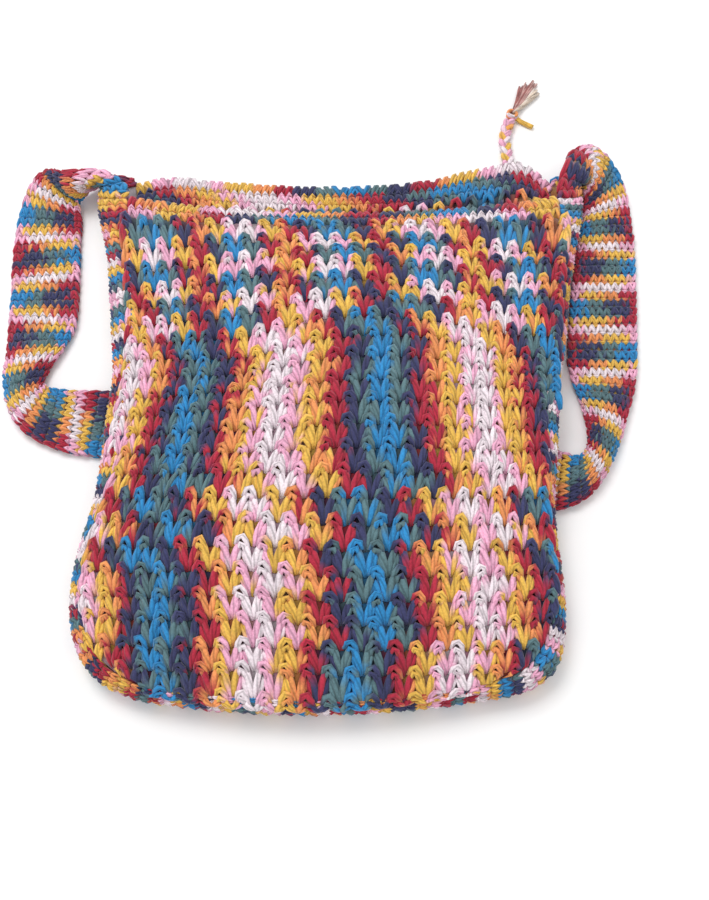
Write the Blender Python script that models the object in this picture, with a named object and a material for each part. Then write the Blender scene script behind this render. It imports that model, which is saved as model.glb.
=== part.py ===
"""Crocheted tote bag lying on its back, with its shoulder strap folded under it.

Units are metres, +Z is up, and the mouth of the bag is towards +Y. The bag is a front panel
and a back panel joined by a gusset band, with a stitched rim on each side of the mouth. The
gusset goes on as one wide shoulder strap, and a short braided tie hangs from the back rim.
Every wall is as thick as the crochet, and the bag is hollow and open at its mouth.
"""
import math

import bmesh
import bpy
import numpy as np

# Driving dimensions
PANEL_WIDTH = 0.245        # across a panel, between its side seams
BODY_LENGTH = 0.300        # from the bottom seam to the front edge of the mouth
BODY_THICKNESS = 0.025     # from the floor to the front panel at the side seams
RIM_HEIGHT = 0.016         # width of the stitched rim
BACK_RISE = 0.029          # how far the back edge of the mouth shows past the front edge
PANEL_WALL = 0.004
BAND_WALL = 0.0045         # wall of the gusset and of the strap
GUSSET_WIDTH = 0.042
STRAP_WIDTH = 0.0405
BRAID_DIAMETER = 0.006
BRAID_LENGTH = 0.039
KNOT_DIAMETER = 0.0085
FRINGE_LENGTH = 0.038
FRINGE_HEADING = 61.0      # degrees from +X
FRINGE_SPREAD = 24.0       # degrees between the outer locks of the fringe
LOCK_COUNT = 6
LOCK_DIAMETER = 0.0032
LOCK_SHORTER_OUTSIDE = 0.25   # how much shorter the outer locks are, as a share
TIE_END_LENGTH = 0.017
TIE_END_DIAMETER = 0.0034
TIE_END_HEADING = -32.0    # degrees from +X
GAP = 0.0003               # between pieces that touch
BRAID_CLEARANCE = 0.0007   # from the braid's end to the sloping edge of the back rim

# The back panel is draped over the hidden run of the strap
DRAPE_MARGIN = 0.013       # level stretch past each edge of the strap
DRAPE_FALL = 0.024         # stretch in which the panel comes down to the floor

# Mesh fineness
PANEL_COLUMNS = 20
CORNER_LEVELS = 8          # cross lines of a panel in its round bottom corners
STRAIGHT_LEVELS = 19
RIM_LEVELS = 4
BAND_SEGMENTS = 7
STRAP_STEP = 0.009         # between two cross-sections of the strap
LOCK_SIDES = 6
SHARP_ANGLE = 40.0         # degrees

# A lock of the fringe: share of its length from the knot, and share of LOCK_DIAMETER
LOCK_PROFILE = ((0.0, 0.8), (0.35, 1.0), (0.75, 0.95), (1.0, 0.6))

CORNER_TOP = 0.14          # share of BODY_LENGTH at which the bottom corners end
RISE_STARTS = 0.5          # share of BODY_LENGTH from which the back is pulled up
BULGE_OF_HANDLE = 0.75     # how far a cubic curve bulges, as a share of its handles

# Outline of the panels, from the bottom seam to the mouth. up and bow are shares of
# BODY_LENGTH, left and right of half the panel width, height and crown of BODY_THICKNESS,
# and the two bulges of GUSSET_WIDTH. crown is how much higher the middle is than the seams.
BODY_COLUMNS = ("up", "left", "right", "bow", "height", "crown", "bulge_left", "bulge_right")
BODY_ROWS = (
    (0.020, -0.76, 0.60, 0.022, 0.66, 0.06, 0.10, 0.10),
    (0.040, -0.87, 0.76, 0.022, 0.70, 0.08, 0.12, 0.16),
    (0.065, -0.94, 0.83, 0.020, 0.74, 0.10, 0.14, 0.22),
    (0.100, -0.99, 0.88, 0.017, 0.80, 0.12, 0.14, 0.19),
    (0.140, -1.02, 0.91, 0.014, 0.86, 0.16, 0.13, 0.13),
    (0.200, -1.03, 0.92, 0.010, 0.92, 0.20, 0.11, 0.10),
    (0.250, -1.02, 0.915, 0.007, 0.95, 0.20, 0.10, 0.09),
    (0.320, -0.98, 0.91, 0.005, 0.98, 0.20, 0.12, 0.09),
    (0.410, -0.93, 0.93, 0.004, 1.00, 0.18, 0.22, 0.12),
    (0.500, -0.92, 0.955, 0.003, 1.00, 0.16, 0.25, 0.13),
    (0.590, -0.92, 0.98, 0.003, 1.00, 0.14, 0.23, 0.15),
    (0.680, -0.925, 1.01, 0.004, 1.00, 0.10, 0.31, 0.21),
    (0.770, -0.955, 1.04, 0.005, 0.98, 0.04, 0.33, 0.23),
    (0.870, -0.99, 1.08, 0.008, 0.96, 0.00, 0.36, 0.28),
    (0.930, -1.02, 1.11, 0.012, 0.92, -0.04, 0.40, 0.31),
    (0.970, -1.04, 1.125, 0.018, 0.88, -0.14, 0.43, 0.34),
    (1.000, -1.05, 1.13, 0.024, 0.82, -0.28, 0.44, 0.35),
)

# The back edge of the mouth: share of the way across, and share of BACK_RISE
BACK_EDGE = (
    (0.00, 0.79),
    (0.06, 1.02),
    (0.20, 1.02),
    (0.50, 0.97),
    (0.70, 1.10),
    (0.85, 1.38),
    (0.95, 1.38),
    (1.00, 0.79),
)

# Cross-sections of the strap between the left end of the gusset and its right end. x and y are
# the middle of the two edges, as shares of half the panel width and of BODY_LENGTH. heading
# and lean are degrees: the way from the inner edge, beside the loop, to the outer edge. The
# rest are shares of STRAP_WIDTH: height above the floor, the straight distance between the
# edges, and the way in which the band bulges between them.
STRAP_COLUMNS = ("x", "y", "height", "heading", "lean", "spread", "fold_x", "fold_y", "fold_z")
STRAP_ROWS = (
    (-1.065, 1.065, 0.256, -87.0, 39.0, 0.58, -0.59, -0.02, 0.01),
    (-1.139, 1.078, 0.29, -77.0, 51.0, 0.50, -0.52, -0.21, 0.06),
    (-1.224, 1.080, 0.30, -72.0, 70.0, 0.43, -0.32, -0.38, 0.14),
    (-1.298, 1.073, 0.28, 180.0, 83.0, 0.37, -0.19, -0.35, 0.18),
    (-1.359, 1.063, 0.25, -222.0, 47.0, 0.42, -0.08, -0.25, 0.19),
    (-1.42, 1.060, 0.18, -222.0, 20.0, 0.66, -0.12, 0.02, 0.17),
    (-1.445, 1.050, 0.14, -218.0, 9.0, 0.86, -0.10, 0.03, 0.12),
    (-1.465, 1.030, 0.10, -205.0, 3.0, 0.94, -0.06, 0.02, 0.07),
    (-1.475, 0.998, 0.06, -188.0, 0.0, 0.98, 0.00, 0.00, 0.03),
    (-1.470, 0.930, 0.054, -176.0, 0.0, 1.00, 0.00, 0.00, 0.00),
    (-1.445, 0.820, 0.054, -176.0, 0.0, 1.00, 0.00, 0.00, 0.00),
    (-1.430, 0.727, 0.054, -182.0, 0.0, 0.97, 0.00, 0.00, 0.04),
    (-1.440, 0.672, 0.06, -172.0, 1.0, 0.80, 0.00, -0.06, 0.12),
    (-1.465, 0.624, 0.06, -162.0, 2.0, 0.60, 0.02, -0.10, 0.20),
    (-1.460, 0.582, 0.06, -141.0, 2.0, 0.52, 0.04, -0.10, 0.24),
    (-1.415, 0.552, 0.06, -116.0, 2.0, 0.64, 0.06, -0.10, 0.19),
    (-1.330, 0.530, 0.054, -99.0, 0.0, 0.82, 0.04, -0.08, 0.09),
    (-1.210, 0.518, 0.054, -91.0, 0.0, 0.96, 0.00, -0.02, 0.02),
    (-1.060, 0.513, 0.054, -96.0, 0.0, 1.00, 0.00, 0.00, 0.00),
    (-0.900, 0.500, 0.054, -98.0, 0.0, 1.00, 0.00, 0.00, 0.00),
    (0.860, 0.404, 0.054, -98.0, 0.0, 1.00, 0.00, 0.00, 0.00),
    (1.000, 0.396, 0.054, -101.0, 0.0, 0.92, 0.00, -0.04, 0.02),
    (1.095, 0.398, 0.054, -98.0, 0.0, 0.70, -0.02, -0.08, 0.10),
    (1.170, 0.418, 0.06, -88.0, 2.0, 0.52, -0.04, -0.10, 0.18),
    (1.225, 0.457, 0.06, -62.0, 3.0, 0.40, -0.02, -0.10, 0.22),
    (1.250, 0.497, 0.06, -40.0, 3.0, 0.46, 0.00, -0.06, 0.21),
    (1.265, 0.540, 0.06, -24.0, 2.0, 0.62, 0.00, -0.03, 0.15),
    (1.280, 0.590, 0.054, -5.0, 0.0, 0.85, 0.00, -0.02, 0.07),
    (1.290, 0.642, 0.054, -2.0, 0.0, 0.98, 0.00, 0.00, 0.00),
    (1.310, 0.718, 0.054, 0.0, 0.0, 1.00, 0.00, 0.00, 0.00),
    (1.340, 0.812, 0.054, 0.0, 0.0, 0.96, 0.00, 0.00, 0.00),
    (1.375, 0.911, 0.054, 0.0, 0.0, 0.88, 0.00, 0.00, 0.02),
    (1.395, 0.990, 0.06, 10.0, 0.0, 0.80, 0.00, 0.02, 0.05),
    (1.395, 1.033, 0.10, 30.0, 2.0, 0.80, 0.02, 0.01, 0.08),
    (1.385, 1.064, 0.12, 52.0, 4.0, 0.86, 0.05, 0.00, 0.11),
    (1.355, 1.086, 0.16, 68.0, 8.0, 0.92, 0.12, -0.02, 0.15),
    (1.315, 1.098, 0.19, 83.0, 14.0, 0.90, 0.17, -0.03, 0.19),
    (1.265, 1.095, 0.25, 99.0, 27.0, 0.68, 0.19, -0.08, 0.21),
    (1.220, 1.093, 0.29, 139.0, 61.0, 0.45, 0.33, -0.29, 0.15),
    (1.180, 1.082, 0.29, 241.0, 58.0, 0.46, 0.43, -0.17, 0.09),
    (1.139, 1.065, 0.256, 267.0, 39.0, 0.58, 0.46, -0.02, 0.01),
)

# Route of the braid from the back rim to its knot, in metres, measured along +X and +Y
# from the place where it leaves the rim. Its points were chosen by hand.
BRAID_LEAVES_AT = 0.905    # share of the way across the back rim
BRAID_ROUTE = (
    (0.0000, 0.0000),
    (-0.0010, 0.0110),
    (-0.0014, 0.0200),
    (0.0000, 0.0285),
    (0.0032, 0.0370),
)

HALF_PANEL = PANEL_WIDTH / 2
PANEL_TOP = 1 - RIM_HEIGHT / BODY_LENGTH
DRAPE_LIFT = BAND_WALL + GAP

YARN_COLOURS = {
    "front_panel": (0.62, 0.30, 0.28),
    "back_panel": (0.50, 0.26, 0.26),
    "gusset": (0.70, 0.42, 0.22),
    "front_rim": (0.72, 0.36, 0.42),
    "back_rim": (0.20, 0.28, 0.38),
    "shoulder_strap": (0.16, 0.36, 0.50),
    "closure_braid": (0.80, 0.42, 0.34),
    "braid_tassel": (0.48, 0.14, 0.14),
}
YARN_ROUGHNESS = 0.9


def clear_scene():
    for item in list(bpy.data.objects):
        bpy.data.objects.remove(item, do_unlink=True)


def smooth(knots, values, at):
    """A smooth curve through values at the given knots, with no overshoot past its ends."""
    knots = np.asarray(knots, float)
    values = np.asarray(values, float)
    slopes = np.gradient(values, knots, axis=0)
    at = np.clip(np.atleast_1d(np.asarray(at, float)), knots[0], knots[-1])
    cell = np.clip(np.searchsorted(knots, at, side="right") - 1, 0, len(knots) - 2)
    width = knots[cell + 1] - knots[cell]
    share = (at - knots[cell]) / width
    if values.ndim == 2:
        share = share[:, None]
        width = width[:, None]
    start = values[cell] * (1 + 2 * share) * (1 - share) ** 2
    end = values[cell + 1] * share ** 2 * (3 - 2 * share)
    leave = slopes[cell] * width * share * (1 - share) ** 2
    arrive = slopes[cell + 1] * width * share ** 2 * (share - 1)
    return start + end + leave + arrive


def body_profile(up):
    """The named columns of BODY_ROWS at the heights in up."""
    table = np.array(BODY_ROWS)
    rows = smooth(table[:, 0], table, up)
    return {name: rows[:, index] for index, name in enumerate(BODY_COLUMNS)}


def panel_levels():
    """Heights of the panel's cross lines, closer together at the round bottom corners."""
    corner = np.linspace(BODY_ROWS[0][0], CORNER_TOP, CORNER_LEVELS)
    straight = np.linspace(CORNER_TOP, PANEL_TOP, STRAIGHT_LEVELS)[1:]
    return np.concatenate([corner, straight])


def rim_levels():
    return np.linspace(PANEL_TOP, 1.0, RIM_LEVELS)


def dome(across):
    return 1 - np.abs(2 * across - 1) ** 3


def drape(x, y):
    """Height of the floor under the back of the bag: the strap's thickness over the strap."""
    table = np.array(STRAP_ROWS)
    hidden = int(np.argmax(np.diff(table[:, 0])))
    start = table[hidden, :2] * (HALF_PANEL, BODY_LENGTH)
    end = table[hidden + 1, :2] * (HALF_PANEL, BODY_LENGTH)
    along = (end - start) / np.linalg.norm(end - start)
    away = np.abs((x - start[0]) * along[1] - (y - start[1]) * along[0])
    share = np.clip((away - STRAP_WIDTH / 2 - DRAPE_MARGIN) / DRAPE_FALL, 0, 1)
    return DRAPE_LIFT * (1 - share * share * (3 - 2 * share))


def plan(across, up, back=False):
    """Plan position of a sheet's points: across is 0 at the left seam and 1 at the right."""
    profile = body_profile(up)
    across = np.asarray(across)[None, :]
    left = profile["left"][:, None]
    right = profile["right"][:, None]
    x = HALF_PANEL * (left + (right - left) * across)
    y = BODY_LENGTH * (np.asarray(up) - profile["bow"])[:, None] * np.ones_like(across)
    y = y + BODY_LENGTH * profile["bow"][:, None] * (2 * across - 1) ** 2
    if back:
        edge = np.array(BACK_EDGE)
        rise = np.clip((np.asarray(up) - RISE_STARTS) / (1 - RISE_STARTS), 0, 1) ** 2
        y = y + BACK_RISE * rise[:, None] * smooth(edge[:, 0], edge[:, 1], across[0])
    return x, y


def front_sheet(across, up):
    """Outer and inner face of the front of the bag."""
    x, y = plan(across, up)
    profile = body_profile(up)
    crown = profile["crown"][:, None] * dome(np.asarray(across))[None, :]
    z = BODY_THICKNESS * (profile["height"][:, None] + crown)
    return np.stack([x, y, z], -1), np.stack([x, y, z - PANEL_WALL], -1)


def back_sheet(across, up):
    """Inner and outer face of the back of the bag, which lies on the floor."""
    x, y = plan(across, up, back=True)
    z = drape(x, y)
    return np.stack([x, y, z + PANEL_WALL], -1), np.stack([x, y, z], -1)


def solid(name, outer, inner):
    """A closed wall between two grids of points, as one object."""
    rows, columns = outer.shape[:2]
    mesh = bmesh.new()
    faces = [[[mesh.verts.new(point) for point in row] for row in grid] for grid in (outer, inner)]
    for grid in faces:
        for row in range(rows - 1):
            for column in range(columns - 1):
                mesh.faces.new((grid[row][column], grid[row][column + 1],
                                grid[row + 1][column + 1], grid[row + 1][column]))
    border = [(0, column) for column in range(columns)]
    border += [(row, columns - 1) for row in range(1, rows)]
    border += [(rows - 1, column) for column in range(columns - 2, -1, -1)]
    border += [(row, 0) for row in range(rows - 2, 0, -1)]
    for (row, column), (next_row, next_column) in zip(border, border[1:] + border[:1]):
        mesh.faces.new((faces[0][row][column], faces[0][next_row][next_column],
                        faces[1][next_row][next_column], faces[1][row][column]))
    bmesh.ops.recalc_face_normals(mesh, faces=mesh.faces)
    return finish(name, mesh)


def finish(name, mesh):
    data = bpy.data.meshes.new(name)
    mesh.to_mesh(data)
    mesh.free()
    data.shade_smooth()
    data.set_sharp_from_angle(angle=math.radians(SHARP_ANGLE))
    item = bpy.data.objects.new(name, data)
    bpy.context.scene.collection.objects.link(item)
    return item


def unit(vectors):
    return vectors / np.linalg.norm(vectors, axis=-1, keepdims=True)


def bezier(start, leave, arrive, end, count):
    """Points and unit tangents of one cubic curve for each row of its four control points."""
    share = np.linspace(0, 1, count)[None, :, None]
    start, leave, arrive, end = (item[:, None, :] for item in (start, leave, arrive, end))
    points = (start * (1 - share) ** 3 + 3 * leave * (1 - share) ** 2 * share
              + 3 * arrive * (1 - share) * share ** 2 + end * share ** 3)
    tangents = ((leave - start) * (1 - share) ** 2 + 2 * (arrive - leave) * (1 - share) * share
                + (end - arrive) * share ** 2)
    return points, unit(tangents)


def thicken(points, tangents, along, wall):
    """The two faces of a band whose middle surface is a grid of points."""
    normals = unit(np.cross(tangents, along[:, None, :]))
    return points + normals * wall / 2, points - normals * wall / 2


def seam_path():
    """The seam round the bag from the left of the mouth, along the bottom, to the right.

    Returns the plan points of the front seam and of the back seam, with the front seam's
    height and the bulge of the gusset at each. The points are those of the panels' edges.
    """
    levels = np.concatenate([panel_levels(), rim_levels()[1:]])
    profile = body_profile(levels)
    columns = np.linspace(0, 1, PANEL_COLUMNS + 1)
    seams = []
    for back in (False, True):
        x, y = plan(columns, levels, back)
        left = np.stack([x[::-1, 0], y[::-1, 0]], -1)
        bottom = np.stack([x[0, 1:-1], y[0, 1:-1]], -1)
        right = np.stack([x[:, -1], y[:, -1]], -1)
        seams.append(np.concatenate([left, bottom, right]))
    outer, _ = front_sheet(columns, levels)
    heights = np.concatenate([outer[::-1, 0, 2], outer[0, 1:-1, 2], outer[:, -1, 2]])
    bottom_bulge = np.full(len(columns) - 2, profile["bulge_left"][0])
    bulges = np.concatenate([profile["bulge_left"][::-1], bottom_bulge, profile["bulge_right"]])
    return seams[0], seams[1], heights, GUSSET_WIDTH * bulges


def gusset_sections():
    """Control points of the gusset's cross-sections, and the way that the band runs.

    At its two ends the way is square to the section, so that the strap meets a flat face.
    """
    front, back, heights, bulges = seam_path()
    along = unit(np.gradient(front, axis=0))
    outward = np.stack([along[:, 1], -along[:, 0]], -1)
    centre = front.mean(axis=0)
    outward *= np.sign(((front - centre) * outward).sum(axis=1, keepdims=True))
    front = front + outward * GAP
    back = back + outward * GAP
    upper = np.column_stack([front, heights - PANEL_WALL / 2])
    lower = np.column_stack([back, drape(back[:, 0], back[:, 1]) + BAND_WALL / 2])
    reach = np.column_stack([outward * (bulges / BULGE_OF_HANDLE)[:, None], np.zeros(len(bulges))])
    along = np.column_stack([along, np.zeros(len(bulges))])
    ends = [0, -1]
    square = unit(np.cross(upper[ends] - lower[ends], reach[ends]))
    along[ends] = square * np.sign((square * along[ends]).sum(axis=1, keepdims=True))
    return upper, upper + reach, lower + reach, lower, along


def gusset():
    start, leave, arrive, end, along = gusset_sections()
    points, tangents = bezier(start, leave, arrive, end, BAND_SEGMENTS + 1)
    outer, inner = thicken(points, tangents, along, BAND_WALL)
    return solid("gusset", outer, inner)


def gusset_ends():
    """The strap's first and last cross-section, a small gap past the ends of the gusset."""
    *controls, along = gusset_sections()
    past_end = GAP * np.array([-along[0], along[-1]])
    return np.concatenate(controls, axis=1)[[0, -1]] + np.tile(past_end, 4)


def strap_sections():
    """Control points of the strap's cross-sections at even steps, and the way that it runs."""
    table = np.array(STRAP_ROWS)
    columns = {name: table[:, index] for index, name in enumerate(STRAP_COLUMNS)}
    centre = np.column_stack([columns["x"] * HALF_PANEL, columns["y"] * BODY_LENGTH,
                              columns["height"] * STRAP_WIDTH])
    heading = np.radians(columns["heading"])
    lean = np.radians(columns["lean"])
    across = np.column_stack([np.cos(heading) * np.cos(lean), np.sin(heading) * np.cos(lean),
                              np.sin(lean)])
    half = across * (columns["spread"] * STRAP_WIDTH / 2)[:, None]
    fold = STRAP_WIDTH * np.column_stack([columns[name] for name in ("fold_x", "fold_y", "fold_z")])
    flat = 1 - np.clip(np.linalg.norm(fold, axis=1) / (STRAP_WIDTH / 2), 0, 1)
    outer = centre + half
    inner = centre - half
    leave = outer - half * (2 / 3) * flat[:, None] + fold
    arrive = inner + half * (2 / 3) * flat[:, None] + fold
    controls = np.concatenate([outer, leave, arrive, inner], axis=1)
    first, last = gusset_ends()
    controls = np.concatenate([[first], controls, [last]])
    middle = (controls[:, 0:3] + controls[:, 9:12]) / 2
    spread = (controls[:, 0:3] - controls[:, 9:12]) / 2
    run = np.concatenate([[0], np.cumsum(np.linalg.norm(np.diff(middle, axis=0), axis=1)
                                         + np.linalg.norm(np.diff(spread, axis=0), axis=1))])
    at = np.linspace(0, run[-1], int(run[-1] / STRAP_STEP) + 1)
    controls = smooth(run, controls, at)
    return [controls[:, index:index + 3] for index in (0, 3, 6, 9)]


def shoulder_strap():
    start, leave, arrive, end = strap_sections()
    points, tangents = bezier(start, leave, arrive, end, BAND_SEGMENTS + 1)
    along = np.gradient(points, axis=0)
    along[[0, -1]] = -gusset_sections()[4][[0, -1], None, :]
    normals = unit(np.cross(tangents, along))
    outer = points + normals * BAND_WALL / 2
    inner = points - normals * BAND_WALL / 2
    lowest = np.minimum(outer[..., 2], inner[..., 2])
    sunk = np.clip(-lowest, 0, None)
    outer[..., 2] += sunk
    inner[..., 2] += sunk
    return solid("shoulder_strap", outer, inner)


def panel(name, sheet):
    outer, inner = sheet(np.linspace(0, 1, PANEL_COLUMNS + 1), panel_levels())
    return solid(name, outer, inner)


def rim(name, sheet):
    levels = rim_levels()
    levels[0] += GAP / BODY_LENGTH
    outer, inner = sheet(np.linspace(0, 1, PANEL_COLUMNS + 1), levels)
    return solid(name, outer, inner)


def braid_points():
    """The braid's centre line on the floor, starting at the edge of the back rim."""
    x, y = plan([BRAID_LEAVES_AT], [1.0], back=True)
    route = np.array(BRAID_ROUTE)
    run = np.concatenate([[0], np.cumsum(np.linalg.norm(np.diff(route, axis=0), axis=1))])
    at = np.linspace(0, BRAID_LENGTH, int(BRAID_LENGTH / (2 * BRAID_DIAMETER)) + 3)
    points = smooth(run, route, at * run[-1] / BRAID_LENGTH)
    floor = np.full(len(points), BRAID_DIAMETER / 2)
    start = (x[0, 0], y[0, 0] + BRAID_CLEARANCE, 0)
    return np.column_stack([points, floor]) + start


def closure_braid():
    points = braid_points()
    curve = bpy.data.curves.new("closure_braid", "CURVE")
    curve.dimensions = "3D"
    curve.bevel_depth = BRAID_DIAMETER / 2
    curve.bevel_resolution = 2
    curve.use_fill_caps = True
    spline = curve.splines.new("POLY")
    spline.points.add(len(points) - 1)
    for target, point in zip(spline.points, points):
        target.co = (*point, 1)
    item = bpy.data.objects.new("closure_braid", curve)
    bpy.context.scene.collection.objects.link(item)
    return item


def lock(start, heading, length, diameter, droop):
    """One lock of yarn: a tapered tube from the knot, coming down to the floor."""
    forward = np.array([math.cos(heading), math.sin(heading), 0.0])
    side = np.array([-forward[1], forward[0], 0.0])
    mesh = bmesh.new()
    rings = []
    for share, width in LOCK_PROFILE:
        radius = diameter / 2 * width
        height = max(start[2] - droop * share, radius)
        centre = start + forward * length * share + (0, 0, height - start[2])
        angles = [2 * math.pi * index / LOCK_SIDES for index in range(LOCK_SIDES)]
        rings.append([mesh.verts.new(centre + radius * (side * math.cos(angle)
                      + np.array([0, 0, 1]) * math.sin(angle))) for angle in angles])
    for ring, next_ring in zip(rings, rings[1:]):
        for index in range(LOCK_SIDES):
            after = (index + 1) % LOCK_SIDES
            mesh.faces.new((ring[index], ring[after], next_ring[after], next_ring[index]))
    mesh.faces.new(rings[0])
    mesh.faces.new(rings[-1])
    bmesh.ops.recalc_face_normals(mesh, faces=mesh.faces)
    return mesh


def braid_tassel():
    """The knot at the braid's end, with its fringe and the loose end of the tie, as one body."""
    points = braid_points()
    way = unit(points[-1] - points[-2])
    heading = math.radians(FRINGE_HEADING)
    centre = points[-1] + way * (KNOT_DIAMETER / 2 + GAP)
    centre[2] = KNOT_DIAMETER / 2
    knot = bmesh.new()
    bmesh.ops.create_uvsphere(knot, u_segments=12, v_segments=8, radius=KNOT_DIAMETER / 2)
    bmesh.ops.translate(knot, verts=knot.verts, vec=centre)
    body = finish("braid_tassel", knot)
    spread = math.radians(FRINGE_SPREAD)
    locks = []
    for index in range(LOCK_COUNT):
        share = index / (LOCK_COUNT - 1) - 0.5
        length = FRINGE_LENGTH * (1 - LOCK_SHORTER_OUTSIDE * abs(2 * share))
        stacked = LOCK_DIAMETER * (0.5 + 0.3 * (index % 2))
        locks.append(lock(centre, heading + share * spread, length, LOCK_DIAMETER,
                          KNOT_DIAMETER / 2 - stacked))
    locks.append(lock(centre, math.radians(TIE_END_HEADING), TIE_END_LENGTH, TIE_END_DIAMETER,
                      KNOT_DIAMETER / 2))
    for index, mesh in enumerate(locks):
        cutter = finish(f"lock_guide_{index}", mesh)
        cutter.hide_render = True
        cutter.display_type = "WIRE"
        union = body.modifiers.new(f"lock_{index}", "BOOLEAN")
        union.operation = "UNION"
        union.object = cutter
    return body


def material(name):
    shade = bpy.data.materials.new(name)
    shade.use_nodes = True
    surface = shade.node_tree.nodes["Principled BSDF"]
    surface.inputs["Base Color"].default_value = (*YARN_COLOURS[name], 1)
    surface.inputs["Roughness"].default_value = YARN_ROUGHNESS
    surface.inputs["Metallic"].default_value = 0.0
    return shade


def centre_on_base(pieces, braid_names):
    """Move the bag so that the origin is below the middle of its bounding box."""
    bpy.context.view_layer.update()
    corners = np.array([piece.matrix_world @ vertex.co for piece in pieces
                        if piece.name not in braid_names for vertex in piece.data.vertices])
    low = corners.min(axis=0)
    middle = (low + corners.max(axis=0)) / 2
    for item in bpy.data.objects:
        item.location = (-middle[0], -middle[1], -low[2])


def main():
    clear_scene()
    pieces = [
        panel("front_panel", front_sheet),
        panel("back_panel", back_sheet),
        gusset(),
        rim("front_rim", front_sheet),
        rim("back_rim", back_sheet),
        shoulder_strap(),
        closure_braid(),
        braid_tassel(),
    ]
    for piece in pieces:
        piece.data.materials.append(material(piece.name))
    centre_on_base(pieces, ("closure_braid", "braid_tassel"))


main()
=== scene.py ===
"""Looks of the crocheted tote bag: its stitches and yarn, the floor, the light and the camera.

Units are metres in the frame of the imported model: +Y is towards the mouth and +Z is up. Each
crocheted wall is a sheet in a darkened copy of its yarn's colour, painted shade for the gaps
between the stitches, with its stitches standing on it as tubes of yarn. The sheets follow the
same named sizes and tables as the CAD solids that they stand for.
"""
import math

import bpy
import numpy as np
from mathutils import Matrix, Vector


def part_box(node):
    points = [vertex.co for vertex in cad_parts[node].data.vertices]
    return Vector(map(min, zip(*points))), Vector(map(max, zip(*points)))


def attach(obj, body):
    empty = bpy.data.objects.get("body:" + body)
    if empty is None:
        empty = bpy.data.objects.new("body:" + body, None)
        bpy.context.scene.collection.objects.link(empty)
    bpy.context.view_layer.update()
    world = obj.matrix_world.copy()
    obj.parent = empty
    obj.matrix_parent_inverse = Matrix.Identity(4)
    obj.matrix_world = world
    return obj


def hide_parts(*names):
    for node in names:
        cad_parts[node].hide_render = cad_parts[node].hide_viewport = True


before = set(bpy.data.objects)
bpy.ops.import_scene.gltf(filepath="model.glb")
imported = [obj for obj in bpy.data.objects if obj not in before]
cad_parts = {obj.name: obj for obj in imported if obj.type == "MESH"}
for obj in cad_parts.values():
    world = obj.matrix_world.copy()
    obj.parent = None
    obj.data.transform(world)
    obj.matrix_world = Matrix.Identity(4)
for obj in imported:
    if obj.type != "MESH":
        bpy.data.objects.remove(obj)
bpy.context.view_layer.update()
draws = np.random.default_rng(7)

# Sizes of the bag, as in the CAD
PANEL_WIDTH = 0.245
BODY_LENGTH = 0.300
BODY_THICKNESS = 0.025
RIM_HEIGHT = 0.016
BACK_RISE = 0.029
PANEL_WALL = 0.004
BAND_WALL = 0.0045
GUSSET_WIDTH = 0.042
STRAP_WIDTH = 0.0405
BRAID_DIAMETER = 0.006
BRAID_LENGTH = 0.039
KNOT_DIAMETER = 0.0085
FRINGE_LENGTH = 0.038
FRINGE_HEADING = 61.0
FRINGE_SPREAD = 24.0
TIE_END_LENGTH = 0.017
TIE_END_DIAMETER = 0.0034
TIE_END_HEADING = -32.0
GAP = 0.0003
BRAID_CLEARANCE = 0.0007
DRAPE_MARGIN = 0.013
DRAPE_FALL = 0.024
CORNER_TOP = 0.14
RISE_STARTS = 0.5
BULGE_OF_HANDLE = 0.75
HALF_PANEL = PANEL_WIDTH / 2
PANEL_TOP = 1 - RIM_HEIGHT / BODY_LENGTH
DRAPE_LIFT = BAND_WALL + GAP

BODY_COLUMNS = ("up", "left", "right", "bow", "height", "crown", "bulge_left", "bulge_right")
BODY_ROWS = (
    (0.020, -0.76, 0.60, 0.022, 0.66, 0.06, 0.10, 0.10),
    (0.040, -0.87, 0.76, 0.022, 0.70, 0.08, 0.12, 0.16),
    (0.065, -0.94, 0.83, 0.020, 0.74, 0.10, 0.14, 0.22),
    (0.100, -0.99, 0.88, 0.017, 0.80, 0.12, 0.14, 0.19),
    (0.140, -1.02, 0.91, 0.014, 0.86, 0.16, 0.13, 0.13),
    (0.200, -1.03, 0.92, 0.010, 0.92, 0.20, 0.11, 0.10),
    (0.250, -1.02, 0.915, 0.007, 0.95, 0.20, 0.10, 0.09),
    (0.320, -0.98, 0.91, 0.005, 0.98, 0.20, 0.12, 0.09),
    (0.410, -0.93, 0.93, 0.004, 1.00, 0.18, 0.22, 0.12),
    (0.500, -0.92, 0.955, 0.003, 1.00, 0.16, 0.25, 0.13),
    (0.590, -0.92, 0.98, 0.003, 1.00, 0.14, 0.23, 0.15),
    (0.680, -0.925, 1.01, 0.004, 1.00, 0.10, 0.31, 0.21),
    (0.770, -0.955, 1.04, 0.005, 0.98, 0.04, 0.33, 0.23),
    (0.870, -0.99, 1.08, 0.008, 0.96, 0.00, 0.36, 0.28),
    (0.930, -1.02, 1.11, 0.012, 0.92, -0.04, 0.40, 0.31),
    (0.970, -1.04, 1.125, 0.018, 0.88, -0.14, 0.43, 0.34),
    (1.000, -1.05, 1.13, 0.024, 0.82, -0.28, 0.44, 0.35),
)
PANEL_BOTTOM = BODY_ROWS[0][0]
BACK_EDGE = (
    (0.00, 0.79),
    (0.06, 1.02),
    (0.20, 1.02),
    (0.50, 0.97),
    (0.70, 1.10),
    (0.85, 1.38),
    (0.95, 1.38),
    (1.00, 0.79),
)
STRAP_COLUMNS = ("x", "y", "height", "heading", "lean", "spread", "fold_x", "fold_y", "fold_z")
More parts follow.
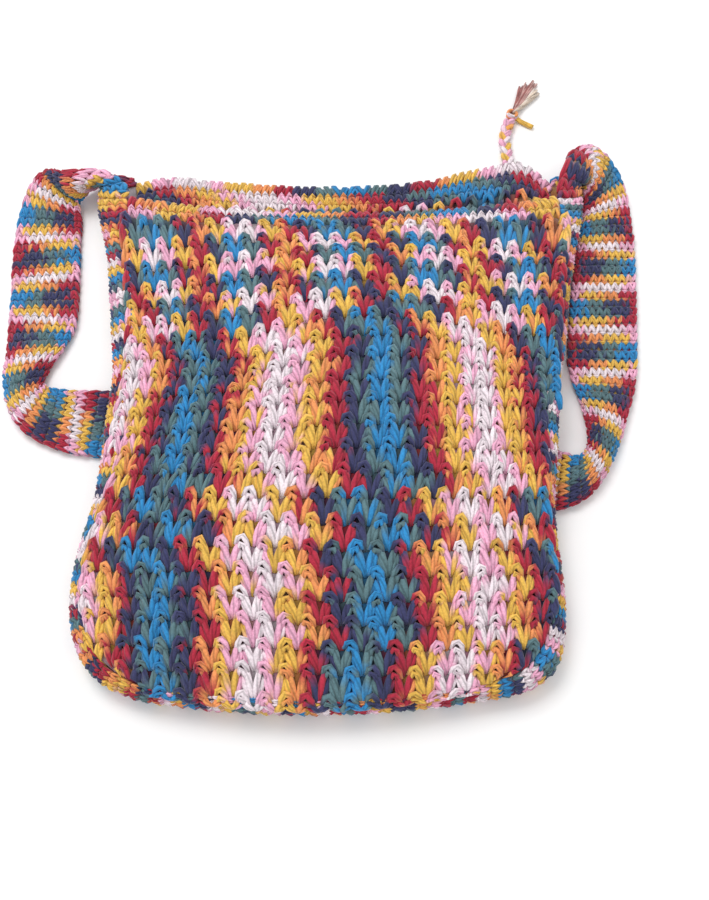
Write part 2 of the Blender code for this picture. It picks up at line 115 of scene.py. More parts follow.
STRAP_ROWS = (
    (-1.065, 1.065, 0.256, -87.0, 39.0, 0.58, -0.59, -0.02, 0.01),
    (-1.139, 1.078, 0.29, -77.0, 51.0, 0.50, -0.52, -0.21, 0.06),
    (-1.224, 1.080, 0.30, -72.0, 70.0, 0.43, -0.32, -0.38, 0.14),
    (-1.298, 1.073, 0.28, 180.0, 83.0, 0.37, -0.19, -0.35, 0.18),
    (-1.359, 1.063, 0.25, -222.0, 47.0, 0.42, -0.08, -0.25, 0.19),
    (-1.42, 1.060, 0.18, -222.0, 20.0, 0.66, -0.12, 0.02, 0.17),
    (-1.445, 1.050, 0.14, -218.0, 9.0, 0.86, -0.10, 0.03, 0.12),
    (-1.465, 1.030, 0.10, -205.0, 3.0, 0.94, -0.06, 0.02, 0.07),
    (-1.475, 0.998, 0.06, -188.0, 0.0, 0.98, 0.00, 0.00, 0.03),
    (-1.470, 0.930, 0.054, -176.0, 0.0, 1.00, 0.00, 0.00, 0.00),
    (-1.445, 0.820, 0.054, -176.0, 0.0, 1.00, 0.00, 0.00, 0.00),
    (-1.430, 0.727, 0.054, -182.0, 0.0, 0.97, 0.00, 0.00, 0.04),
    (-1.440, 0.672, 0.06, -172.0, 1.0, 0.80, 0.00, -0.06, 0.12),
    (-1.465, 0.624, 0.06, -162.0, 2.0, 0.60, 0.02, -0.10, 0.20),
    (-1.460, 0.582, 0.06, -141.0, 2.0, 0.52, 0.04, -0.10, 0.24),
    (-1.415, 0.552, 0.06, -116.0, 2.0, 0.64, 0.06, -0.10, 0.19),
    (-1.330, 0.530, 0.054, -99.0, 0.0, 0.82, 0.04, -0.08, 0.09),
    (-1.210, 0.518, 0.054, -91.0, 0.0, 0.96, 0.00, -0.02, 0.02),
    (-1.060, 0.513, 0.054, -96.0, 0.0, 1.00, 0.00, 0.00, 0.00),
    (-0.900, 0.500, 0.054, -98.0, 0.0, 1.00, 0.00, 0.00, 0.00),
    (0.860, 0.404, 0.054, -98.0, 0.0, 1.00, 0.00, 0.00, 0.00),
    (1.000, 0.396, 0.054, -101.0, 0.0, 0.92, 0.00, -0.04, 0.02),
    (1.095, 0.398, 0.054, -98.0, 0.0, 0.70, -0.02, -0.08, 0.10),
    (1.170, 0.418, 0.06, -88.0, 2.0, 0.52, -0.04, -0.10, 0.18),
    (1.225, 0.457, 0.06, -62.0, 3.0, 0.40, -0.02, -0.10, 0.22),
    (1.250, 0.497, 0.06, -40.0, 3.0, 0.46, 0.00, -0.06, 0.21),
    (1.265, 0.540, 0.06, -24.0, 2.0, 0.62, 0.00, -0.03, 0.15),
    (1.280, 0.590, 0.054, -5.0, 0.0, 0.85, 0.00, -0.02, 0.07),
    (1.290, 0.642, 0.054, -2.0, 0.0, 0.98, 0.00, 0.00, 0.00),
    (1.310, 0.718, 0.054, 0.0, 0.0, 1.00, 0.00, 0.00, 0.00),
    (1.340, 0.812, 0.054, 0.0, 0.0, 0.96, 0.00, 0.00, 0.00),
    (1.375, 0.911, 0.054, 0.0, 0.0, 0.88, 0.00, 0.00, 0.02),
    (1.395, 0.990, 0.06, 10.0, 0.0, 0.80, 0.00, 0.02, 0.05),
    (1.395, 1.033, 0.10, 30.0, 2.0, 0.80, 0.02, 0.01, 0.08),
    (1.385, 1.064, 0.12, 52.0, 4.0, 0.86, 0.05, 0.00, 0.11),
    (1.355, 1.086, 0.16, 68.0, 8.0, 0.92, 0.12, -0.02, 0.15),
    (1.315, 1.098, 0.19, 83.0, 14.0, 0.90, 0.17, -0.03, 0.19),
    (1.265, 1.095, 0.25, 99.0, 27.0, 0.68, 0.19, -0.08, 0.21),
    (1.220, 1.093, 0.29, 139.0, 61.0, 0.45, 0.33, -0.29, 0.15),
    (1.180, 1.082, 0.29, 241.0, 58.0, 0.46, 0.43, -0.17, 0.09),
    (1.139, 1.065, 0.256, 267.0, 39.0, 0.58, 0.46, -0.02, 0.01),
)
BRAID_LEAVES_AT = 0.905
BRAID_ROUTE = (
    (0.0000, 0.0000),
    (-0.0010, 0.0110),
    (-0.0014, 0.0200),
    (0.0000, 0.0285),
    (0.0032, 0.0370),
)

# Camera, as found from the photograph
PHOTO_WIDTH = 709
PHOTO_HEIGHT = 900
FOCAL_PIXELS = 900
SENSOR_MM = 36.0
CAMERA_PLACE = (0.0188, -0.2361, 0.468)
CAMERA_DEPRESSION = 66.4      # degrees below the horizon

# Stitches
PANEL_STITCHES = 24.5         # V stitches across a panel
PANEL_ROWS = 22
INNER_ROWS = 4                # rows of the back's inner side that show in the mouth
BAND_STITCHES = 9             # short stitches across the gusset and the strap
BAND_ROW = 0.0060
STRAP_HIDDEN_HALF = 0.098     # the strap's upper side is out of sight under the bag up to here
RIM_STITCH = 0.0050
AVERAGE_WIDTH = 0.98          # about how wide the lying bag is, as a share of the panel's width,
MOUTH_WIDTH = 1.09            # and how wide its mouth is
STRAND_SIDES = 6
YARN_RADIUS = 0.00155
TIP_REACH = 0.97              # where a stitch's yarn ends, as a share of its own length
FINE_RADIUS = 0.00122
PLIES = 3
PLY_TURN = 0.034              # length of yarn in which its plies wind once round
MIRRORED_SHARE = 0.25         # share of the stitches that are the other way round
HEIGHT_SPREAD = 0.12          # how uneven the strands are: in height, in yarn radii,
WIDTH_SPREAD = 0.06           # in width, as a share,
PHASE_SPREAD = 0.012          # in place along the yarn's repeat,
SHADE_SPREAD = 0.07           # and in lightness, as a share
PANEL_JITTER = 0.02           # how uneven the places of the stitches are, in stitches and rows
BAND_JITTER = 0.03
BAND_REACH = 1.15             # length of a short stitch in rows
RIM_REACH = 1.1
ROW_OVERLAP = 0.35            # how far a row of V stitches reaches over the next, in rows
SIDE_REACH = 0.035            # how much wider the lower rows are, to reach over the side seams
SIDE_ROWS = (8, 13)           # the rows over which they get that much wider
SEAM_REACH = 1.012            # how far the last full row reaches down over the seam, as a share
SEAM_SHORTENING = 0.25        # how short the half-hidden row past it is
SOFT_FLOOR = 0.0016           # height below which yarn is squashed by the floor
# The sheet of painted shade behind the stitches: half its thickness, its lightness as a share of its
# yarn's (the painted shade of the gaps), and the rows and columns of its grid
PANEL_SHADE_SHEET = (0.0010, 0.36, 48, 44)
BAND_SHADE_SHEET = (0.0014, 0.35, 200, 11)
RIM_SHADE_SHEET = (0.0012, 0.40, 7, 100)

# One repeat of the yarn, from the middle of its blue to the middle of its white: the share of
# the way at which each colour ends. The second half of the repeat runs back the same way.
YARN_HALF = (
    ("blue", 0.10, (48, 136, 194)),
    ("teal", 0.22, (92, 122, 128)),
    ("navy", 0.36, (60, 62, 100)),
    ("red", 0.51, (176, 44, 66)),
    ("orange", 0.61, (234, 150, 92)),
    ("yellow", 0.77, (230, 184, 84)),
    ("pink", 0.89, (238, 175, 203)),
    ("white", 1.00, (235, 222, 228)),
)
# Yarn of the bands: its phase at the start, its change with each row, and its swing across one
GUSSET_YARN = (0.3, 0.23, 0.2)
STRAP_YARN = (0.6, 0.2, 0.2)
# The back's colours are the front's, mirrored and moved on by these rows and this phase
BACK_ROW_SHIFT = 8
BACK_PHASE_SHIFT = 0.1
# Colours of the yarn ends of the fringe, from its right side to its left
FRINGE_DYES = ((214, 196, 178), (226, 212, 202), (196, 152, 146), (160, 100, 96), (138, 84, 84))
COLOUR_BLEND = 0.012          # half the length of a change of colour, as a share of YARN_HALF

# The plaited tie, its knot and its fringe
PLAIT_PHASES = (0.46, 0.32, 0.43)
PLAIT_TURN = 0.0180           # length in which a strand goes once from side to side and back
PLAIT_SWING = 0.0022
PLAIT_RISE = 0.0009
PLAIT_RADIUS = 0.0020
KNOT_PHASES = (0.30, 0.42, 0.28, 0.46)
KNOT_RADIUS = 0.0013
FRINGE_YARNS = 44
FRINGE_RADIUS = 0.00095
TIE_PHASE = 0.345
TIE_RADIUS = 0.0011
UP = np.array([0.0, 0.0, 1.0])

# Light
SKY_STRENGTH = 0.85
KEY_PLACE = (-0.5, 0.7, 1.5)
KEY_SIZE = 0.8
KEY_POWER = 14


def smooth(knots, values, at):
    """A smooth curve through values at the given knots, held at its ends."""
    knots = np.asarray(knots, float)
    values = np.asarray(values, float)
    slopes = np.gradient(values, knots, axis=0)
    at = np.clip(np.atleast_1d(np.asarray(at, float)), knots[0], knots[-1])
    cell = np.clip(np.searchsorted(knots, at, side="right") - 1, 0, len(knots) - 2)
    width = knots[cell + 1] - knots[cell]
    share = (at - knots[cell]) / width
    if values.ndim == 2:
        share = share[:, None]
        width = width[:, None]
    start = values[cell] * (1 + 2 * share) * (1 - share) ** 2
    end = values[cell + 1] * share ** 2 * (3 - 2 * share)
    leave = slopes[cell] * width * share * (1 - share) ** 2
    arrive = slopes[cell + 1] * width * share ** 2 * (share - 1)
    return start + end + leave + arrive


def unit(vectors):
    return vectors / np.maximum(np.linalg.norm(vectors, axis=-1, keepdims=True), 1e-12)


def run_along(points):
    """How far along its line each point lies."""
    steps = np.linalg.norm(np.diff(points, axis=-2), axis=-1)
    return np.concatenate([np.zeros(steps.shape[:-1] + (1,)), np.cumsum(steps, axis=-1)], axis=-1)


def body_profile(up):
    table = np.array(BODY_ROWS)
    rows = smooth(table[:, 0], table, up)
    return {name: rows[:, index] for index, name in enumerate(BODY_COLUMNS)}


def dome(across):
    return 1 - np.abs(2 * across - 1) ** 3


def drape(x, y):
    """Height of the floor under the back of the bag: the strap's thickness over the strap."""
    table = np.array(STRAP_ROWS)
    hidden = int(np.argmax(np.diff(table[:, 0])))
    start = table[hidden, :2] * (HALF_PANEL, BODY_LENGTH)
    end = table[hidden + 1, :2] * (HALF_PANEL, BODY_LENGTH)
    along = (end - start) / np.linalg.norm(end - start)
    away = np.abs((x - start[0]) * along[1] - (y - start[1]) * along[0])
    share = np.clip((away - STRAP_WIDTH / 2 - DRAPE_MARGIN) / DRAPE_FALL, 0, 1)
    return DRAPE_LIFT * (1 - share * share * (3 - 2 * share))


def plan(across, up, back=False):
    """Plan position of a grid of points: across is 0 at the left seam and 1 at the right."""
    profile = {name: column[:, None] for name, column in body_profile(up).items()}
    across = np.broadcast_to(across, (len(up), np.shape(across)[-1]))
    x = HALF_PANEL * (profile["left"] + (profile["right"] - profile["left"]) * across)
    y = BODY_LENGTH * (np.asarray(up)[:, None] - profile["bow"] * (1 - (2 * across - 1) ** 2))
    if back:
        edge = np.array(BACK_EDGE)
        rise = np.clip((np.asarray(up) - RISE_STARTS) / (1 - RISE_STARTS), 0, 1) ** 2
        lifts = smooth(edge[:, 0], edge[:, 1], across.ravel()).reshape(across.shape)
        y = y + BACK_RISE * rise[:, None] * lifts
    return x, y


def front_middle(across, up):
    """Middle surface of the front of the bag."""
    x, y = plan(across, up)
    profile = body_profile(up)
    crown = profile["crown"][:, None] * dome(np.broadcast_to(across, x.shape))
    z = BODY_THICKNESS * (profile["height"][:, None] + crown)
    return np.stack([x, y, z - PANEL_WALL / 2], -1)


def back_middle(across, up):
    """Middle surface of the back of the bag, which lies on the floor."""
    x, y = plan(across, up, back=True)
    return np.stack([x, y, drape(x, y) + PANEL_WALL / 2], -1)


def bezier(start, leave, arrive, end, count):
    """Points of one cubic curve for each row of its four control points."""
    share = np.linspace(0, 1, count)[None, :, None]
    start, leave, arrive, end = (item[:, None, :] for item in (start, leave, arrive, end))
    return (start * (1 - share) ** 3 + 3 * leave * (1 - share) ** 2 * share
            + 3 * arrive * (1 - share) * share ** 2 + end * share ** 3)


def seam_path():
    """Front and back seam round the bag, with the front's height and the gusset's bulge."""
    levels = np.concatenate([np.linspace(PANEL_BOTTOM, CORNER_TOP, 16),
                             np.linspace(CORNER_TOP, 1.0, 60)[1:]])
    profile = body_profile(levels)
    columns = np.linspace(0, 1, 61)
    seams = []
    for back in (False, True):
        x, y = plan(columns[None, :], levels, back)
        left = np.stack([x[::-1, 0], y[::-1, 0]], -1)
        bottom = np.stack([x[0, 1:-1], y[0, 1:-1]], -1)
        right = np.stack([x[:, -1], y[:, -1]], -1)
        seams.append(np.concatenate([left, bottom, right]))
    heights = front_middle(columns[None, :], levels)[..., 2]
    heights = np.concatenate([heights[::-1, 0], heights[0, 1:-1], heights[:, -1]])
    bottom_bulge = np.full(len(columns) - 2, profile["bulge_left"][0])
    bulges = np.concatenate([profile["bulge_left"][::-1], bottom_bulge, profile["bulge_right"]])
    return seams[0], seams[1], heights, GUSSET_WIDTH * bulges


def gusset_sections():
    """Control points of the gusset's cross-sections, and the way that the band runs."""
    front, back, heights, bulges = seam_path()
    along = unit(np.gradient(front, axis=0))
    outward = np.stack([along[:, 1], -along[:, 0]], -1)
    centre = front.mean(axis=0)
    outward *= np.sign(((front - centre) * outward).sum(axis=1, keepdims=True))
    front = front + outward * GAP
    back = back + outward * GAP
    upper = np.column_stack([front, heights])
    lower = np.column_stack([back, drape(back[:, 0], back[:, 1]) + BAND_WALL / 2])
    reach = np.column_stack([outward * (bulges / BULGE_OF_HANDLE)[:, None], np.zeros(len(bulges))])
    return upper, upper + reach, lower + reach, lower


def strap_sections():
    """Control points of the strap's cross-sections, between the two ends of the gusset."""
    table = np.array(STRAP_ROWS)
    columns = {name: table[:, index] for index, name in enumerate(STRAP_COLUMNS)}
    centre = np.column_stack([columns["x"] * HALF_PANEL, columns["y"] * BODY_LENGTH,
                              columns["height"] * STRAP_WIDTH])
    heading = np.radians(columns["heading"])
    lean = np.radians(columns["lean"])
    across = np.column_stack([np.cos(heading) * np.cos(lean), np.sin(heading) * np.cos(lean),
                              np.sin(lean)])
    half = across * (columns["spread"] * STRAP_WIDTH / 2)[:, None]
    fold = STRAP_WIDTH * np.column_stack([columns[name] for name in ("fold_x", "fold_y", "fold_z")])
    flat = 1 - np.clip(np.linalg.norm(fold, axis=1) / (STRAP_WIDTH / 2), 0, 1)
    outer = centre + half
    inner = centre - half
    leave = outer - half * (2 / 3) * flat[:, None] + fold
    arrive = inner + half * (2 / 3) * flat[:, None] + fold
    controls = np.concatenate([outer, leave, arrive, inner], axis=1)
    ends = np.concatenate(gusset_sections(), axis=1)[[0, -1]]
    controls = np.concatenate([ends[:1], controls, ends[1:]])
    middle = (controls[:, 0:3] + controls[:, 9:12]) / 2
    spread = (controls[:, 0:3] - controls[:, 9:12]) / 2
    run = np.concatenate([[0], np.cumsum(np.linalg.norm(np.diff(middle, axis=0), axis=1)
                                         + np.linalg.norm(np.diff(spread, axis=0), axis=1))])
    controls = smooth(run, controls, np.linspace(0, run[-1], 300))
    return [controls[:, index:index + 3] for index in (0, 3, 6, 9)]


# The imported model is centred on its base, so the sheets move with it
first_points = front_middle(np.linspace(0, 1, 21)[None, :],
                            np.linspace(PANEL_BOTTOM, PANEL_TOP, 26))
SHIFT = np.array([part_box("front_panel")[0][0] - first_points[..., 0].min(),
                  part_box("front_panel")[1][1] - first_points[..., 1].max(), 0.0])


def bilinear(grid, s, t):
    """Reads a grid at shares of its rows and columns, going straight on beyond its edges."""
    rows, columns = grid.shape[:2]
    s = s * (rows - 1)
    t = t * (columns - 1)
    row = np.clip(np.floor(s).astype(int), 0, rows - 2)
    column = np.clip(np.floor(t).astype(int), 0, columns - 2)
    fs = s - row
    ft = t - column
    if grid.ndim == 3:
        fs = fs[..., None]
        ft = ft[..., None]
    return ((grid[row, column] * (1 - ft) + grid[row, column + 1] * ft) * (1 - fs)
            + (grid[row + 1, column] * (1 - ft) + grid[row + 1, column + 1] * ft) * fs)


class Skin:
    """A middle surface as a grid of points, read at any (row share, column share, height)."""

    def __init__(self, points, flip=False):
        self.points = points + SHIFT
        down = np.gradient(self.points, axis=0)
        right = np.gradient(self.points, axis=1)
        normals = unit(np.cross(down, right))
        self.normals = -normals if flip else normals

    def place(self, s, t, height):
        points = bilinear(self.points, s, t)
        normals = bilinear(self.normals, np.clip(s, 0, 1), np.clip(t, 0, 1))
        points = points + normals * height[..., None]
        z = points[..., 2]
        squashed = SOFT_FLOOR * np.exp(np.minimum(z - SOFT_FLOOR, 0) / SOFT_FLOOR)
        points[..., 2] = np.where(z < SOFT_FLOOR, squashed, z)
        return points


def linear(rgb):
    """An sRGB colour from 0 to 255 as linear light."""
    share = np.asarray(rgb, float) / 255
    return np.where(share <= 0.04045, share / 12.92, ((share + 0.055) / 1.055) ** 2.4)


def yarn_colour(phase):
    """Colour of the yarn, where phase 0 is the middle of the blue and 0.5 that of the white."""
    half = np.abs((phase + 0.5) % 1 - 0.5) * 2
    knots = []
    colours = []
    start = 0.0
    for _, end, rgb in YARN_HALF:
        knots += [start + COLOUR_BLEND, end - COLOUR_BLEND]
        colours += [linear(rgb)] * 2
        start = end
    colours = np.array(colours)
    return np.stack([np.interp(half, knots, colours[:, channel]) for channel in range(3)], -1)


def tubes(paths, radii, scale):
    """Rings of points round many paths.

    paths is (tubes, points, 3) in stitch, row and height units, scale turns the first two into
    metres, and radii is (tubes, points) in metres. The result is (tubes, points, sides, 3).
    """
    metric = paths * scale
    tangent = unit(np.gradient(metric, axis=1))
    side = np.cross(tangent, (0.0, 0.0, 1.0))
    upright = np.linalg.norm(side, axis=-1, keepdims=True) < 1e-6
    side = unit(np.where(upright, (1.0, 0.0, 0.0), side))
    lift = np.cross(side, tangent)
    angles = np.arange(STRAND_SIDES) * 2 * math.pi / STRAND_SIDES + math.pi / 2
    ring = (side[:, :, None, :] * np.cos(angles)[None, None, :, None]
            + lift[:, :, None, :] * np.sin(angles)[None, None, :, None])
    return (metric[:, :, None, :] + ring * radii[:, :, None, None]) / scale


def tube_faces(count, points):
    """Faces of count tubes with rings of STRAND_SIDES, closed by a flat cap at each end."""
    ring = np.arange(STRAND_SIDES)
    after = (ring + 1) % STRAND_SIDES
    quads = []
    for index in range(points - 1):
        low = index * STRAND_SIDES
        high = low + STRAND_SIDES
        quads.append(np.stack([low + ring, low + after, high + after, high + ring], -1))
    quads = np.concatenate(quads)
    caps = np.stack([ring[::-1], (points - 1) * STRAND_SIDES + ring])
    base = (np.arange(count) * points * STRAND_SIDES)[:, None, None]
    return (quads[None] + base).reshape(-1, 4), (caps[None] + base).reshape(-1, STRAND_SIDES)


def stand(name, mesh, material):
    """Puts a mesh in the scene as one object with that material."""
    item = bpy.data.objects.new(name, mesh)
    bpy.context.scene.collection.objects.link(item)
    mesh.materials.append(material)
    return item


def colour_points(mesh, rgb):
    shade = mesh.color_attributes.new("yarn", "FLOAT_COLOR", "POINT")
    rgba = np.column_stack([rgb, np.ones(len(rgb))])
    shade.data.foreach_set("color", rgba.astype(np.float32).ravel())


def yarn_mesh(name, groups, material):
    """One mesh from groups of tubes, each (rings in metres, colours, metres along the yarn)."""
    points, colours, runs = [], [], []
    loops, turns, sizes = [], [], []
    offset = 0
    for rings, shades, run in groups:
        count, length = rings.shape[:2]
        points.append(rings.reshape(-1, 3))
        colours.append(np.repeat(shades.reshape(-1, 3), STRAND_SIDES, axis=0))
        runs.append(np.repeat(run.reshape(-1), STRAND_SIDES))
        for faces in tube_faces(count, length):
            loops.append((faces + offset).reshape(-1))
            sizes.append(np.full(len(faces), faces.shape[1]))
            turn = faces % STRAND_SIDES
            if faces.shape[1] == 4:
                turn[:, 1] = turn[:, 0] + 1
                turn[:, 2] = turn[:, 3] + 1
            turns.append(turn.reshape(-1) / STRAND_SIDES)
        offset += count * length * STRAND_SIDES
    points = np.concatenate(points)
    loops = np.concatenate(loops)
    sizes = np.concatenate(sizes)
    starts = np.concatenate([[0], np.cumsum(sizes)[:-1]])
    mesh = bpy.data.meshes.new(name)
    mesh.vertices.add(len(points))
    mesh.vertices.foreach_set("co", points.astype(np.float32).ravel())
    mesh.loops.add(len(loops))
    mesh.loops.foreach_set("vertex_index", loops.astype(np.int32))
    mesh.polygons.add(len(sizes))
    mesh.polygons.foreach_set("loop_start", starts.astype(np.int32))
    mesh.update(calc_edges=True)
    mesh.validate()
    colour_points(mesh, np.concatenate(colours))
    ply = mesh.attributes.new("ply", "FLOAT_VECTOR", "CORNER")
    along = np.concatenate(runs)[loops]
    vector = np.column_stack([np.concatenate(turns), along, np.zeros(len(loops))])
    ply.data.foreach_set("vector", vector.astype(np.float32).ravel())
    mesh.shade_smooth()
    return stand(name, mesh, material)


# The strands of one V stitch, each (shift, path). shift moves its colour along the yarn. The points
# of its path are (u, v, height, width): u runs across the stitch, v down the row from its peak to
# its tips, height is in yarn radii above the middle surface, and width is a share of the radius.
LEG_STRANDS = (
    (-0.020, ((0.34, 0.14, 0.9, 0.70), (0.25, 0.33, 1.6, 1.05), (0.16, 0.54, 1.8, 1.12),
              (0.09, 0.76, 1.4, 1.00), (0.04, 0.96, 0.4, 0.60))),
    (-0.008, ((0.45, 0.30, 0.6, 0.65), (0.40, 0.46, 1.2, 1.00), (0.32, 0.63, 1.4, 1.02),
              (0.22, 0.81, 1.0, 0.88), (0.12, 0.98, 0.0, 0.50))),
)
LOOP_STRANDS = (
    (0.035, ((0.18, 0.20, 1.2, 0.60), (0.31, 0.02, 2.1, 0.98), (0.52, -0.02, 2.5, 1.02),
             (0.70, 0.12, 2.1, 0.98), (0.82, 0.32, 1.2, 0.60))),
    (0.045, ((0.28, 0.33, 1.5, 0.60), (0.42, 0.16, 2.2, 0.92), (0.58, 0.22, 2.2, 0.92),
             (0.68, 0.42, 1.2, 0.60))),
)


def mirrored(strand):
    """The same strand in the other leg of the V."""
    shift, path = strand
    return -shift, tuple((round(1 - u, 2), *rest) for u, *rest in path)


STITCH_STRANDS = LEG_STRANDS + tuple(mirrored(strand) for strand in LEG_STRANDS) + LOOP_STRANDS
FLAT_STRANDS = STITCH_STRANDS[:5]
SHORT_STRANDS = (
    (0.0, ((0.50, -0.05, 0.8, 0.65), (0.26, 0.28, 1.5, 1.08), (0.10, 0.66, 1.2, 1.02),
           (0.02, 0.98, 0.2, 0.60))),
    (0.004, ((0.46, 0.02, 0.8, 0.65), (0.70, 0.30, 1.4, 1.05), (0.88, 0.66, 1.1, 0.98),
             (0.96, 0.98, 0.2, 0.60))),
    (0.010, ((0.14, 0.02, 0.8, 0.60), (0.50, -0.16, 1.8, 1.00), (0.86, 0.04, 0.8, 0.60))),
)
# The plainer strands of a band's side that faces the floor
FLOOR_STRANDS = (
    (0.0, ((0.50, -0.05, 0.8, 0.70), (0.18, 0.46, 1.5, 1.10), (0.02, 0.98, 0.2, 0.60))),
    (0.004, ((0.46, 0.02, 0.8, 0.70), (0.80, 0.48, 1.4, 1.06), (0.96, 0.98, 0.2, 0.60))),
)
# The slanting loops along the open edge of a rim
EDGE_STRANDS = (
    (0.0, ((0.00, 0.95, 0.5, 0.60), (0.25, 0.45, 1.5, 1.10), (0.60, 0.00, 1.8, 1.15),
           (0.95, -0.25, 0.7, 0.70))),
    (0.006, ((0.45, 0.95, 0.4, 0.60), (0.64, 0.52, 1.2, 1.00), (0.90, 0.15, 1.3, 1.00),
             (1.15, -0.08, 0.4, 0.60))),
)


def stitches(strands, cells, size, yarn, jitter, radius, place, reach):
    """Tubes of yarn for many stitches at once.

    cells is (count, 2): the left side and top of each stitch, in stitch and row units. size is
    the metres in a stitch and in a row. yarn gives the phase of the colour at (u, v), and place
    turns (u, v, height) into points.
    """
    groups = []
    metres = np.array([size[0], size[1], 1.0])
    mirror = draws.random(len(cells)) < MIRRORED_SHARE
    for shift, path in strands:
        path = np.array(path)
        count = len(cells)
        points = np.repeat(path[None, :, :3], count, axis=0)
        points[..., 0] = np.where(mirror[:, None], 1 - points[..., 0], points[..., 0])
        points[..., 1] *= reach
        points[..., 2] *= radius
        points[..., :2] += cells[:, None, :]
        for axis in (0, 1):
            points[..., axis] += (draws.normal(0, jitter, (count, 1))
                                  + draws.normal(0, jitter / 2, points.shape[:2]))
        points[..., 2] += draws.normal(0, HEIGHT_SPREAD * radius, (count, 1))
        radii = radius * path[None, :, 3] * draws.normal(1, WIDTH_SPREAD, (count, 1))
        rings = tubes(points, radii, metres)
        phase = yarn(points[..., 0], cells[:, 1][:, None]) + shift
        phase = phase + draws.normal(0, PHASE_SPREAD, (count, 1))
        shade = yarn_colour(phase) * draws.normal(1, SHADE_SPREAD, (count, 1, 1))
        run = run_along(points * metres) + draws.random((count, 1))
        groups.append((place(rings[..., 0], rings[..., 1], rings[..., 2]),
                       np.clip(shade, 0, 1), run))
    return groups


def shade_sheet(name, skin, kind, phase, material):
    """The sheet behind the stitches, a darkened copy of its yarn's colour as painted shade in the
    gaps. phase gives its colour at shares down and across.
    """
    height, shade, rows, columns = kind
    s, t = np.meshgrid(np.linspace(0, 1, rows), np.linspace(0, 1, columns), indexing="ij")
    top = skin.place(s, t, np.full(s.shape, height))
    bottom = skin.place(s, t, np.full(s.shape, -height))
    points = np.concatenate([top.reshape(-1, 3), bottom.reshape(-1, 3)])
    index = np.arange(rows * columns).reshape(rows, columns)
    corners = (index[:-1, :-1], index[:-1, 1:], index[1:, 1:], index[1:, :-1])
    faces = np.stack(corners, -1).reshape(-1, 4)
    border = np.concatenate([index[0, :], index[1:, -1], index[-1, -2::-1], index[-2:0:-1, 0]])
    after = np.roll(border, -1)
    sheet = rows * columns
    edge = np.stack([border, border + sheet, after + sheet, after], -1)
    faces = np.concatenate([faces, faces[:, ::-1] + sheet, edge])
    mesh = bpy.data.meshes.new(name)
    mesh.from_pydata(points.tolist(), [], faces.tolist())
    mesh.validate()
    # Painted shade: the sheet takes its yarn's colour darkened, for the gaps between the stitches
    colour_points(mesh, np.concatenate([(shade * yarn_colour(phase(s, t))).reshape(-1, 3)] * 2))
    mesh.shade_smooth()
    return stand(name, mesh, material)


def join(name, pieces):
    """Makes one object of several."""
    with bpy.context.temp_override(active_object=pieces[0], selected_editable_objects=pieces):
        bpy.ops.object.join()
    pieces[0].name = name
    return pieces[0]


def crochet(name, groups, skin, kind, phase, material):
    """One piece from the stitches of a wall and the sheet of painted shade behind them."""
    return join(name + "_crochet", [yarn_mesh(name + "_yarn", groups, material),
                                    shade_sheet(name + "_ground", skin, kind, phase, material)])


def math_node(tree, operation, *inputs):
    """A Math node whose inputs are numbers or the sockets of other nodes."""
    node = tree.nodes.new("ShaderNodeMath")
    node.operation = operation
    for index, value in enumerate(inputs):
        if isinstance(value, (int, float)):
            node.inputs[index].default_value = value
        else:
            tree.links.new(value, node.inputs[index])
    return node.outputs["Value"]


def range_node(tree, value, start, end, low, high):
    """Maps a value from start and end to low and high."""
    node = tree.nodes.new("ShaderNodeMapRange")
    for name, number in (("From Min", start), ("From Max", end), ("To Min", low), ("To Max", high)):
        node.inputs[name].default_value = number
    tree.links.new(value, node.inputs["Value"])
    return node.outputs["Result"]


def yarn_material(name):
    """Matte spun cotton: its own colour, fibre mottling, plies that wind round it, and painted shade
    in their grooves.
    """
    material = bpy.data.materials.new(name)
    material.use_nodes = True
    tree = material.node_tree
    nodes = tree.nodes
    links = tree.links
    shader = nodes["Principled BSDF"]
    colour = nodes.new("ShaderNodeAttribute")
    colour.attribute_name = "yarn"
    ply = nodes.new("ShaderNodeAttribute")
    ply.attribute_name = "ply"
    place = nodes.new("ShaderNodeTexCoord")
    mottle = nodes.new("ShaderNodeTexNoise")
    mottle.inputs["Scale"].default_value = 900.0
    mottle.inputs["Detail"].default_value = 3.0
    links.new(place.outputs["Object"], mottle.inputs["Vector"])
    tone = range_node(tree, mottle.outputs["Fac"], 0.3, 0.7, 0.82, 1.14)
    split = nodes.new("ShaderNodeSeparateXYZ")
    links.new(ply.outputs["Vector"], split.inputs["Vector"])
    turns = math_node(tree, "MULTIPLY", split.outputs["Y"], 1 / PLY_TURN)
    twist = math_node(tree, "ADD", turns, split.outputs["X"])
    wave = math_node(tree, "MULTIPLY", twist, 2 * math.pi * PLIES)
    ridge = math_node(tree, "SINE", wave)
    # Painted shade: the colour is darkened in the grooves between the plies
    groove_shade = range_node(tree, ridge, -1.0, -0.1, 0.62, 1.0)
    shade = nodes.new("ShaderNodeVectorMath")
    shade.operation = "SCALE"
    links.new(colour.outputs["Color"], shade.inputs[0])
    links.new(math_node(tree, "MULTIPLY", tone, groove_shade), shade.inputs["Scale"])
    links.new(shade.outputs["Vector"], shader.inputs["Base Color"])
    bump = nodes.new("ShaderNodeBump")
    bump.inputs["Strength"].default_value = 0.5
    bump.inputs["Distance"].default_value = 0.0003
    relief = math_node(tree, "MULTIPLY_ADD", ridge, 0.35, mottle.outputs["Fac"])
    links.new(relief, bump.inputs["Height"])
    links.new(bump.outputs["Normal"], shader.inputs["Normal"])
    shader.inputs["Roughness"].default_value = 0.85
    shader.inputs["Specular IOR Level"].default_value = 0.2
    shader.inputs["Sheen Weight"].default_value = 0.25
    shader.inputs["Sheen Roughness"].default_value = 0.5
    return material


